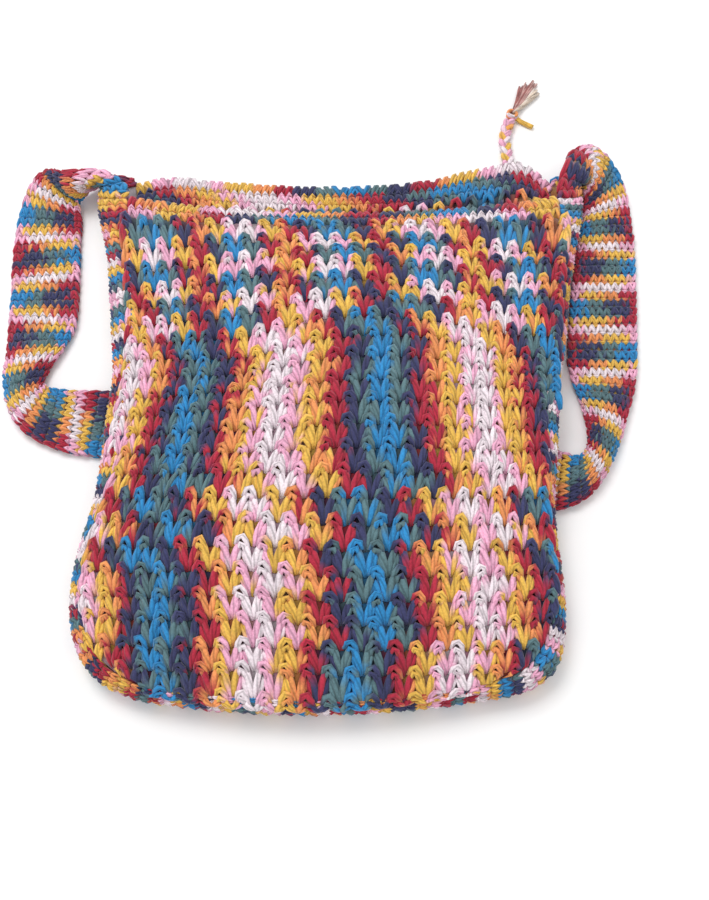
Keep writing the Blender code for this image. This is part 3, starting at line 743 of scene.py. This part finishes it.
def make_camera():
    data = bpy.data.cameras.new("camera")
    data.sensor_width = SENSOR_MM
    data.sensor_height = SENSOR_MM
    data.lens = SENSOR_MM * FOCAL_PIXELS / PHOTO_HEIGHT
    data.clip_start = 0.01
    data.clip_end = 20.0
    camera = bpy.data.objects.new("camera", data)
    camera.location = CAMERA_PLACE
    camera.rotation_euler = (math.radians(90 - CAMERA_DEPRESSION), 0, 0)
    bpy.context.scene.collection.objects.link(camera)
    bpy.context.scene.camera = camera


def plan_of_pixel(x, y, height):
    """Plan point, in the bag's own frame, that shows at a pixel of the photograph."""
    across = (x - PHOTO_WIDTH / 2) / FOCAL_PIXELS
    down = (y - PHOTO_HEIGHT / 2) / FOCAL_PIXELS
    sine = math.sin(math.radians(CAMERA_DEPRESSION))
    cosine = math.cos(math.radians(CAMERA_DEPRESSION))
    depth = (CAMERA_PLACE[2] - height) / (sine + down * cosine)
    return (CAMERA_PLACE[0] + across * depth - SHIFT[0],
            CAMERA_PLACE[1] + depth * (cosine - down * sine) - SHIFT[1])


# Tips of the V stitches in each row of the front, from the top row down: positions down the
# photograph at five positions across it. The second and third columns were read off it, and so
# were the others near the top. Lower down the others follow those two, and the last row is
# drawn down to the seam.
TIP_COLUMNS = (155, 243, 335, 425, 515)
TIP_ROWS = (
    (250, 242, 240, 240, 252),
    (272, 260, 249, 252, 264),
    (292, 279, 262, 268, 282),
    (308, 297, 278, 288, 297),
    (325, 315, 297, 302, 314),
    (343, 337, 317, 320, 335),
    (359, 357, 337, 337, 357),
    (377, 374, 357, 358, 373),
    (398, 390, 381, 380, 389),
    (416, 407, 401, 402, 407),
    (435, 430, 424, 425, 430),
    (454, 452, 448, 448, 451),
    (474, 472, 473, 473, 473),
    (498, 497, 498, 498, 498),
    (522, 520, 525, 525, 524),
    (548, 546, 551, 551, 550),
    (572, 571, 577, 577, 575),
    (597, 596, 602, 602, 600),
    (620, 620, 626, 626, 624),
    (648, 648, 651, 651, 650),
    (672, 672, 676, 676, 674),
    (698, 701, 705, 705, 702),
)
# Where the blue and the white of the yarn lie in each row of the front, from the top row down:
# positions across the photograph, read off it. Blue and white follow each other by turns.
FRONT_COLOURS = (
    ("blue", 155, 247, 335, 422, 512),
    ("white", 157, 237, 330, 422, 508),
    ("blue", 157, 245, 351, 440, 528),
    ("white", 170, 237, 335, 425, 518),
    ("blue", 176, 250, 335, 438, 527),
    ("white", 160, 236, 318, 408, 505),
    ("blue", 190, 270, 370, 462, 545),
    ("blue", 203, 288, 386, 478, 560),
    ("blue", 200, 282, 384, 478, 560),
    ("blue", 192, 278, 383, 480, 560),
    ("blue", 188, 276, 384, 482, 560),
    ("blue", 186, 274, 386, 484, 570),
    ("blue", 175, 270, 387, 483, 570),
    ("blue", 178, 283, 401, 500, 580),
    ("blue", 147, 246, 357, 470, 538),
    ("blue", 172, 277, 393, 497, 580),
    ("blue", 140, 250, 365, 470, 560),
    ("blue", 165, 272, 382, 486, 575),
    ("blue", 163, 252, 372, 478, 570),
    ("blue", 165, 271, 385, 490, 575),
    ("blue", 157, 258, 357, 460, 550),
    ("blue", 165, 256, 352, 455, 560),
)
EDGE_HASTE = 1.25             # how much faster the colours change beyond the outermost marks
PANEL_SHARE_COLUMNS = 120
# How much the columns are drawn out in the middle of a row: amounts chosen from how far apart the
# stitches lie in the photograph
WIDENING_ROWS = (0, 6, 14, 22)
WIDENING = (0.05, 0.14, 0.20, 0.06)
FIRST_STITCH = -0.65          # left side of the leftmost stitch, in stitches
PHOTO_RIM_LINE = 205          # how far down the photograph the rims lie
FRONT_RIM_LEVEL = 0.018       # and how high above the floor
BACK_RIM_LEVEL = 0.004


def front_share(x, y):
    """Share across the bag and share up the bag of what shows at a pixel of its front."""
    height = BODY_THICKNESS
    for _ in range(4):
        plan_x, plan_y = plan_of_pixel(x, y, height)
        up = np.clip(plan_y / BODY_LENGTH, PANEL_BOTTOM, 1.0)
        outline = body_profile(np.maximum([up], CORNER_TOP))
        left = HALF_PANEL * outline["left"][0]
        right = HALF_PANEL * outline["right"][0]
        across = float(np.clip((plan_x - left) / (right - left), 0, 1))
        profile = body_profile([up])
        up = plan_y / BODY_LENGTH + profile["bow"][0] * (1 - (2 * across - 1) ** 2)
        height = BODY_THICKNESS * (profile["height"][0] + profile["crown"][0] * dome(across))
    return (plan_x - left) / (right - left), up


def front_levels():
    """Share down the front panel, as a grid over the rows of stitches and across the bag."""
    even = np.linspace(0, 1, 41)
    knots = [0.0]
    levels = [np.zeros(len(even))]
    for number, tips in enumerate(TIP_ROWS):
        marks = np.array([front_share(x, y) for x, y in zip(TIP_COLUMNS, tips)])
        up = smooth(marks[:, 0], marks[:, 1], even)
        knots.append(number + TIP_REACH * (1 + ROW_OVERLAP))
        levels.append(np.clip((PANEL_TOP - up) / (PANEL_TOP - PANEL_BOTTOM), 0, SEAM_REACH))
    return smooth(knots, np.array(levels), np.linspace(0, knots[-1], 225))


def widen(column, row):
    """Share across the bag for a share of the stitches: they are drawn out in the middle."""
    amount = np.interp(row, WIDENING_ROWS, WIDENING)
    return column - amount / (2 * math.pi) * np.sin(2 * math.pi * column)


def chart_phases(first, places):
    """Phases of the marks in a row of a chart: blue and white by turns."""
    return (0.0 if first == "blue" else 0.5) + 0.5 * np.arange(len(places))


def front_marks():
    """Shares across the bag and phases of the yarn in each row of the front."""
    marks = []
    for (first, *places), tips in zip(FRONT_COLOURS, TIP_ROWS):
        down = np.interp(places, TIP_COLUMNS, tips)
        share = np.array([front_share(x, y)[0] for x, y in zip(places, down)])
        phases = chart_phases(first, places)
        before = phases[0] - EDGE_HASTE * (phases[1] - phases[0]) / (share[1] - share[0])
        after = phases[-1] + EDGE_HASTE * (phases[-1] - phases[-2]) / (share[-1] - share[-2])
        marks.append((np.concatenate([[share[0] - 1], share, [share[-1] + 1]]),
                      np.concatenate([[before], phases, [after]])))
    return marks


LEVELS = front_levels()
MARKS = front_marks()


def read_chart(marks, share, row):
    """Phase of the yarn at a share across, from the marks of the nearest row."""
    index = np.clip(np.round(row).astype(int), 0, len(marks) - 1)
    index = np.broadcast_to(index, np.shape(share))
    phase = np.zeros(np.shape(share))
    for number, (shares, phases) in enumerate(marks):
        here = index == number
        phase[here] = np.interp(share[here], shares, phases)
    return phase


def front_phase(u, row):
    """Phase of the yarn at a stitch position across the front and a row."""
    index = np.clip(np.round(row).astype(int), 0, PANEL_ROWS - 1)
    return read_chart(MARKS, widen(u / PANEL_STITCHES, index), row)


def front_place(u, v):
    """Shares down and across the front panel for stitch and row positions."""
    share = widen(u / PANEL_STITCHES, v)
    wider = np.interp(v, SIDE_ROWS, (0.0, SIDE_REACH))
    share = 0.5 + (share - 0.5) * (1 + wider)
    last = PANEL_ROWS - 1 + TIP_REACH * (1 + ROW_OVERLAP)
    down = bilinear(LEVELS, v / last, share)
    past = np.maximum(down - SEAM_REACH, 0)
    return down - (1 - SEAM_SHORTENING) * past, share


def even_place(u, v):
    """Shares down and across a panel with rows and columns all alike."""
    return v / PANEL_ROWS, u / PANEL_STITCHES


def wide_across(up, across):
    """Share across the real outline, for a share across the outline with square corners."""
    real = body_profile(up)
    wide = body_profile(np.maximum(up, CORNER_TOP))
    x = wide["left"][:, None] + (wide["right"] - wide["left"])[:, None] * across[None, :]
    return (x - real["left"][:, None]) / (real["right"] - real["left"])[:, None]


def panel_cells(where, rows):
    """Left side and top of each V stitch that lies inside the panel's round corners."""
    cells = []
    for row in range(rows):
        columns = np.arange(int(PANEL_STITCHES) + 2) + FIRST_STITCH
        down, share = where(columns + 0.5, np.full(len(columns), row + 0.6))
        up = PANEL_TOP - down * (PANEL_TOP - PANEL_BOTTOM)
        middle = np.diagonal(wide_across(up, share))
        kept = columns[(middle > -0.02) & (middle < 1.02)]
        cells.append(np.column_stack([kept, np.full(len(kept), float(row))]))
    return np.concatenate(cells)


def panel_skin(middle, flip):
    up = np.linspace(PANEL_TOP, PANEL_BOTTOM, 121)
    across = np.clip(wide_across(up, np.linspace(0, 1, PANEL_SHARE_COLUMNS)), 0, 1)
    return Skin(middle(across, up), flip)


def crochet_panel(name, middle, flip, phase, where, layers, material):
    """A panel of V stitches on its sheet of painted shade, replacing the CAD solid of the same name.

    layers is (side, rows, strands) for each side of the panel that has stitches.
    """
    skin = panel_skin(middle, flip)
    size = (PANEL_WIDTH * AVERAGE_WIDTH / PANEL_STITCHES,
            BODY_LENGTH * (PANEL_TOP - PANEL_BOTTOM) / PANEL_ROWS)
    groups = []
    for side, rows, strands in layers:
        def place(u, v, height, side=side):
            down, share = where(u, v)
            return skin.place(down, share, height * side)
        groups += stitches(strands, panel_cells(where, rows), size, phase, PANEL_JITTER, YARN_RADIUS,
                           place, 1 + ROW_OVERLAP)
    return crochet(name, groups, skin, PANEL_SHADE_SHEET,
                   lambda s, t: phase(t * PANEL_STITCHES, s * PANEL_ROWS - 0.5), material)


def band_phase(start, per_row, swing):
    """Phase of yarn worked to and fro across a band: it moves on with each row."""
    def phase(u, row):
        row = np.round(row)
        across = u / BAND_STITCHES
        across = np.where(row % 2 > 0.5, 1 - across, across)
        return start + per_row * row + swing * across
    return phase


def crochet_band(name, points, flip, phase, sides, material, hidden_half=0.0):
    """A band of short stitches, left out on its upper side within hidden_half of the middle."""
    skin = Skin(points, flip)
    middle = points[:, points.shape[1] // 2]
    run = run_along(middle)
    rows = int(round(run[-1] / BAND_ROW))
    cells = np.stack(np.meshgrid(np.arange(BAND_STITCHES), np.arange(rows)), -1)
    cells = cells.reshape(-1, 2).astype(float)
    size = (STRAP_WIDTH / BAND_STITCHES, BAND_ROW)
    shares = np.linspace(0, 1, len(run))
    groups = []
    for side in sides:
        def place(u, v, height, side=side):
            along = np.interp(v / rows * run[-1], run, shares)
            return skin.place(along, u / BAND_STITCHES, height * side)
        low = place(cells[:, 0] + 0.5, cells[:, 1] + 0.5, np.zeros(len(cells)))
        high = place(cells[:, 0] + 0.5, cells[:, 1] + 0.5, np.full(len(cells), FINE_RADIUS))
        upper = high[:, 2] > low[:, 2]
        shown = upper & (np.abs(low[:, 0]) > hidden_half)
        for chosen, strands in ((shown, SHORT_STRANDS), (~upper, FLOOR_STRANDS)):
            if chosen.any():
                groups += stitches(strands, cells[chosen], size, phase, BAND_JITTER, FINE_RADIUS,
                                   place, BAND_REACH)
    return crochet(name, groups, skin, BAND_SHADE_SHEET,
                   lambda s, t: phase(t * BAND_STITCHES, s * rows - 0.5), material)


# Where the blue and the white of the yarn lie along the rows of the rims, from the open edge
# down: positions across the photograph, estimated. The outermost ones are off the bag and
# only carry the repeat on.
FRONT_RIM_COLOURS = (
    ("blue", 40, 245, 450, 590),
    ("white", 110, 297, 487, 660),
)
BACK_RIM_COLOURS = (
    ("blue", 20, 187, 355, 520, 690),
    ("blue", 95, 257, 455, 640),
    ("blue", 120, 270, 485, 640),
)


def rim_phase(chart, height):
    """Phase of the yarn along a rim at that height above the floor."""
    outline = body_profile([1.0])
    left = HALF_PANEL * outline["left"][0]
    right = HALF_PANEL * outline["right"][0]
    marks = []
    for first, *places in chart:
        x = np.array([plan_of_pixel(place, PHOTO_RIM_LINE, height)[0] for place in places])
        marks.append(((x - left) / (right - left), chart_phases(first, places)))
    return lambda share, row: read_chart(marks, share, row)


def crochet_rim(name, middle, flip, chart, height, sides, material):
    """A rim with slanting loops along its open edge and short stitches below them."""
    skin = Skin(middle(np.linspace(0, 1, 121)[None, :], np.linspace(1.0, PANEL_TOP, 13)), flip)
    columns = int(round(PANEL_WIDTH * MOUTH_WIDTH / RIM_STITCH))
    rows = len(chart)
    phase = rim_phase(chart, height)
    groups = []
    for side in sides:
        def place(u, v, height, side=side):
            return skin.place(v / rows, u / columns, height * side)
        for first, last, strands in ((0, 1, EDGE_STRANDS), (1, rows, SHORT_STRANDS)):
            cells = np.stack(np.meshgrid(np.arange(columns), np.arange(first, last)), -1)
            groups += stitches(strands, cells.reshape(-1, 2).astype(float),
                               (RIM_STITCH, RIM_HEIGHT / rows),
                               lambda u, row: phase(u / columns, row),
                               BAND_JITTER, FINE_RADIUS, place, RIM_REACH)
    return crochet(name, groups, skin, RIM_SHADE_SHEET, lambda s, t: phase(t, s * rows - 0.5), material)


def finished(piece, node):
    """Fixes a piece to the bag in place of the CAD node, which it hides."""
    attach(piece, "root")
    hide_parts(node)
    return piece


def braid_points(count):
    """Middle line of the plait, from the rim to the knot."""
    x, y = plan(np.array([[BRAID_LEAVES_AT]]), np.array([1.0]), back=True)
    route = np.array(BRAID_ROUTE)
    run = run_along(route)
    at = np.linspace(0, BRAID_LENGTH, count)
    points = smooth(run, route, at * run[-1] / BRAID_LENGTH)
    floor = np.full(len(points), BRAID_DIAMETER / 2)
    start = (x[0, 0], y[0, 0] + BRAID_CLEARANCE, 0)
    return np.column_stack([points, floor]) + start + SHIFT


def free_tube(paths, radii, phases, dyes=None):
    """A group for yarn_mesh from paths that are already in place, (tubes, points, 3)."""
    rings = tubes(paths, radii, np.ones(3))
    shade = yarn_colour(phases) if dyes is None else dyes
    shade = shade * draws.normal(1, 0.06, (len(paths), 1, 1))
    return rings, np.clip(shade, 0, 1), run_along(paths)


def closure_braid(material):
    """The plait of three strands, each winding from side to side over the others."""
    points = braid_points(60)
    way = unit(np.gradient(points, axis=0))
    side = unit(np.cross(way, (0.0, 0.0, 1.0)))
    run = np.linspace(0, 1, len(points))
    turns = BRAID_LENGTH / PLAIT_TURN
    strands = []
    for index in range(3):
        angle = 2 * math.pi * (run * turns + index / 3)
        strands.append(points + side * (PLAIT_SWING * np.sin(angle))[:, None]
                       + UP * (PLAIT_RISE * np.sin(2 * angle))[:, None])
    paths = np.array(strands)
    radii = np.full(paths.shape[:2], PLAIT_RADIUS)
    phases = np.array(PLAIT_PHASES)[:, None] - 0.02 * run[None, :]
    return yarn_mesh("braid_plait", [free_tube(paths, radii, phases)], material)


def knot(centre):
    """Loops of yarn round the middle of the knot."""
    share = np.linspace(0, 1, 22)
    size = KNOT_DIAMETER / 2 - KNOT_RADIUS
    loops = []
    for index in range(len(KNOT_PHASES)):
        tilt = index * 0.7
        angle = 2 * math.pi * share + tilt
        axis_a = unit(np.array([math.cos(tilt), math.sin(tilt), 0.25 * (-1) ** index]))
        axis_b = unit(np.cross(axis_a, (0.3, 0.2, 1.0)))
        loops.append(centre + size * (np.cos(angle)[:, None] * axis_a
                                      + np.sin(angle)[:, None] * axis_b))
    loops = np.array(loops)
    phases = np.array(KNOT_PHASES)[:, None] + np.zeros((1, len(share)))
    return free_tube(loops, np.full(loops.shape[:2], KNOT_RADIUS), phases)


def fringe_yarns(centre):
    """The cut yarn ends, spread out on the floor past the knot."""
    count = FRINGE_YARNS
    run = np.linspace(0, 1, 10)
    place = np.linspace(-0.5, 0.5, count) + draws.normal(0, 0.03, count)
    angle = math.radians(FRINGE_HEADING) + place * math.radians(FRINGE_SPREAD)
    length = FRINGE_LENGTH * (1 - 0.25 * np.abs(2 * place)) * draws.uniform(0.86, 1.0, count)
    curl = draws.normal(0, 0.08, count)
    direction = angle[:, None] + curl[:, None] * run[None, :]
    forward = np.stack([np.cos(direction), np.sin(direction), np.zeros(direction.shape)], -1)
    step = (length / (len(run) - 1))[:, None, None]
    paths = centre + np.concatenate([np.zeros((count, 1, 3)),
                                     np.cumsum(forward[:, 1:] * step, axis=1)], axis=1)
    low = 0.0008 + 0.0022 * draws.random(count)
    paths[..., 2] = np.maximum(centre[2] * (1 - run[None, :] * 2.2) + 0.002, low[:, None])
    taper = np.interp(run, (0, 0.2, 0.9, 1), (0.8, 1, 1, 0.6))
    radii = np.full(paths.shape[:2], FRINGE_RADIUS) * taper
    chosen = (place + 0.5) * len(FRINGE_DYES) + draws.normal(0, 0.8, count)
    chosen = np.clip(chosen, 0, len(FRINGE_DYES) - 1).astype(int)
    dyes = np.array([linear(rgb) for rgb in FRINGE_DYES])[chosen]
    return free_tube(paths, radii, None, np.repeat(dyes[:, None, :], len(run), axis=1))


def tie_end(centre):
    """The loose end of the yarn that ties the knot."""
    angle = math.radians(TIE_END_HEADING)
    out = np.array([math.cos(angle), math.sin(angle), 0.0])
    run = np.linspace(0, 1, 8)
    path = centre + out * (run * (TIE_END_LENGTH - 0.001))[:, None]
    path[:, 2] = np.maximum(centre[2] * (1 - run * 1.5), TIE_END_DIAMETER / 2)
    side = np.array([-out[1], out[0], 0.0]) * 0.0006
    paths = np.array([path + side, path - side])
    return free_tube(paths, np.full(paths.shape[:2], TIE_RADIUS), np.full((2, len(run)), TIE_PHASE))


def tassel(material):
    """The knot, the cut fringe beyond it and the loose end of the tie."""
    points = braid_points(6)
    way = unit(points[-1] - points[-2])
    centre = points[-1] + way * (KNOT_DIAMETER / 2 + GAP)
    centre[2] = KNOT_DIAMETER / 2
    return yarn_mesh("braid_fringe", [knot(centre), fringe_yarns(centre), tie_end(centre)], material)


def make_floor():
    size = 6.0
    mesh = bpy.data.meshes.new("floor")
    corners = [(-size, -size, 0), (size, -size, 0), (size, size, 0), (-size, size, 0)]
    mesh.from_pydata(corners, [], [(0, 1, 2, 3)])
    material = bpy.data.materials.new("floor")
    material.use_nodes = True
    shader = material.node_tree.nodes["Principled BSDF"]
    shader.inputs["Base Color"].default_value = (0.93, 0.93, 0.93, 1)
    shader.inputs["Roughness"].default_value = 0.9
    shader.inputs["Specular IOR Level"].default_value = 0.1
    stand("floor", mesh, material)


def make_light():
    scene = bpy.context.scene
    world = bpy.data.worlds.new("studio")
    world.use_nodes = True
    background = world.node_tree.nodes["Background"]
    background.inputs["Color"].default_value = (1, 1, 1, 1)
    background.inputs["Strength"].default_value = SKY_STRENGTH
    scene.world = world
    data = bpy.data.lights.new("key", "AREA")
    data.shape = "SQUARE"
    data.size = KEY_SIZE
    data.energy = KEY_POWER
    light = bpy.data.objects.new("key", data)
    light.location = KEY_PLACE
    x, y, z = KEY_PLACE
    light.rotation_euler = (math.atan2(math.hypot(x, y), z), 0, math.atan2(y, x) + math.pi / 2)
    scene.collection.objects.link(light)
    scene.view_settings.view_transform = "Standard"


def main():
    make_camera()
    yarn = yarn_material("cotton_yarn")
    braid = finished(closure_braid(yarn), "closure_braid")
    fringe = finished(tassel(yarn), "braid_tassel")
    line = braid_points(24)
    tuple(line[0])
    [tuple(point) for point in line]

    def back_phase(u, row):
        return front_phase(PANEL_STITCHES - u, (row + BACK_ROW_SHIFT) % PANEL_ROWS) + BACK_PHASE_SHIFT

    finished(crochet_panel("front_panel", front_middle, False, front_phase, front_place,
                           ((1, PANEL_ROWS + 1, STITCH_STRANDS),), yarn), "front_panel")
    finished(crochet_panel("back_panel", back_middle, True, back_phase, even_place,
                           ((1, PANEL_ROWS, FLAT_STRANDS), (-1, INNER_ROWS, FLAT_STRANDS)), yarn),
             "back_panel")
    strap = bezier(*strap_sections(), 13)
    band = bezier(*gusset_sections(), 13)
    finished(crochet_band("gusset", band, True, band_phase(*GUSSET_YARN), (1,), yarn), "gusset")
    finished(crochet_band("shoulder_strap", strap, False, band_phase(*STRAP_YARN), (1, -1), yarn,
                          STRAP_HIDDEN_HALF), "shoulder_strap")
    finished(crochet_rim("front_rim", front_middle, False, FRONT_RIM_COLOURS,
                         FRONT_RIM_LEVEL, (1, -1), yarn),
             "front_rim")
    finished(crochet_rim("back_rim", back_middle, False, BACK_RIM_COLOURS,
                         BACK_RIM_LEVEL, (1, -1), yarn),
             "back_rim")
    make_floor()
    make_light()


main()
